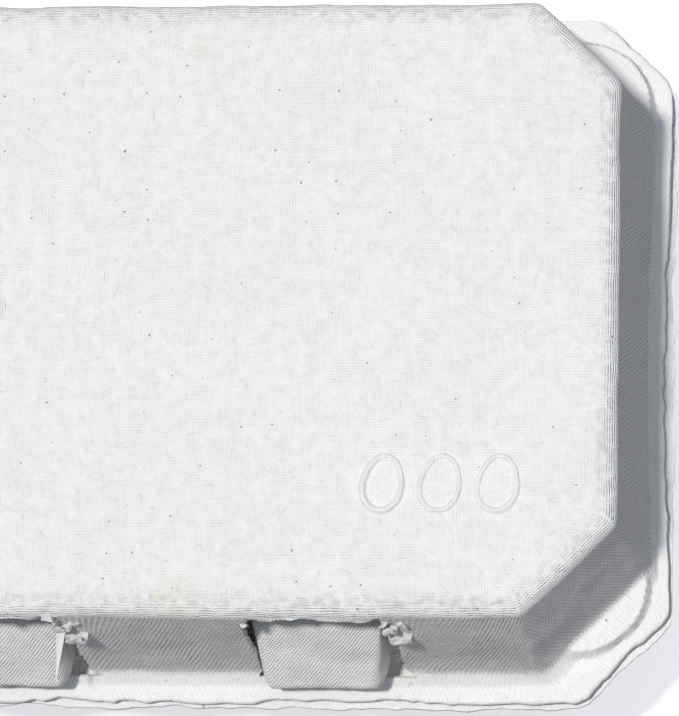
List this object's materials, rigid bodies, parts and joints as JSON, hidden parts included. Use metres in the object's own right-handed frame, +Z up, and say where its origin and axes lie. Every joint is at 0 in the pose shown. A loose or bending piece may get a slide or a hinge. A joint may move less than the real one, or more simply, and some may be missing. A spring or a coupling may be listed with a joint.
{
  "type": "egg carton",
  "caption": "Closed moulded-pulp egg box: a cup tray with a hinged flat-topped lid, cut corners, and a front lock flap whose lugs snap through slots in the lid",
  "frame": {"origin": "bottom centre of the closed box, on the plane of its six feet", "axes": "+X along the box's length, -Y the front with the lock lugs, +Z up"},
  "size_m": [0.15, 0.111, 0.0705],
  "materials": {
    "moulded_pulp": "matte pressed grey-white pulp with fine wire-mesh print, fibres and flecks"
  },
  "bodies": {
    "base": {"band_back": "moulded_pulp", "band_front": "moulded_pulp", "band_left": "moulded_pulp", "band_right": "moulded_pulp", "base_rim": "moulded_pulp", "centre_post_left": "moulded_pulp", "centre_post_right": "moulded_pulp", "egg_cup_back_left": "moulded_pulp", "egg_cup_back_middle": "moulded_pulp", "egg_cup_back_right": "moulded_pulp", "egg_cup_front_left": "moulded_pulp", "egg_cup_front_middle": "moulded_pulp", "egg_cup_front_right": "moulded_pulp", "flap_hinge_fold": "moulded_pulp", "half_post_back_left": "moulded_pulp", "half_post_back_right": "moulded_pulp", "half_post_end_left": "moulded_pulp", "half_post_end_right": "moulded_pulp", "half_post_front_left": "moulded_pulp", "half_post_front_right": "moulded_pulp", "lid_hinge_fold": "moulded_pulp", "ridge_back_left": "moulded_pulp", "ridge_back_right": "moulded_pulp", "ridge_end_left": "moulded_pulp", "ridge_end_right": "moulded_pulp", "ridge_front_left": "moulded_pulp", "ridge_front_right": "moulded_pulp", "ridge_middle": "moulded_pulp"},
    "lid": {"lid_back_wall": "moulded_pulp", "lid_corner_back_left": "moulded_pulp", "lid_corner_back_right": "moulded_pulp", "lid_corner_front_left": "moulded_pulp", "lid_corner_front_right": "moulded_pulp", "lid_front_wall": "moulded_pulp", "lid_ledge_back_left": "moulded_pulp", "lid_ledge_back_right": "moulded_pulp", "lid_ledge_front_left": "moulded_pulp", "lid_ledge_front_right": "moulded_pulp", "lid_left_wall": "moulded_pulp", "lid_motif": "moulded_pulp", "lid_right_wall": "moulded_pulp", "lid_rim": "moulded_pulp", "lid_top": "moulded_pulp"},
    "lock_flap": {"lock_flap_panel": "moulded_pulp", "lock_lug_left": "moulded_pulp", "lock_lug_right": "moulded_pulp"}
  },
  "joints": [
    {"name": "lid_hinge", "type": "hinge", "parent": "base", "child": "lid", "pos_m": [0, 0.0537, 0.0372], "axis": [-1, 0, 0], "range_deg": [0, 180], "deforming": ["lid_hinge_fold", "lock_lug_left", "lock_lug_right"]},
    {"name": "flap_hinge", "type": "hinge", "parent": "base", "child": "lock_flap", "pos_m": [0, -0.0476, 0.0379], "axis": [-1, 0, 0], "range_deg": [0, 22], "stiffness_Nm_per_rad": 0.02, "springref_deg": -17.19, "deforming": ["flap_hinge_fold"]}
  ]
}
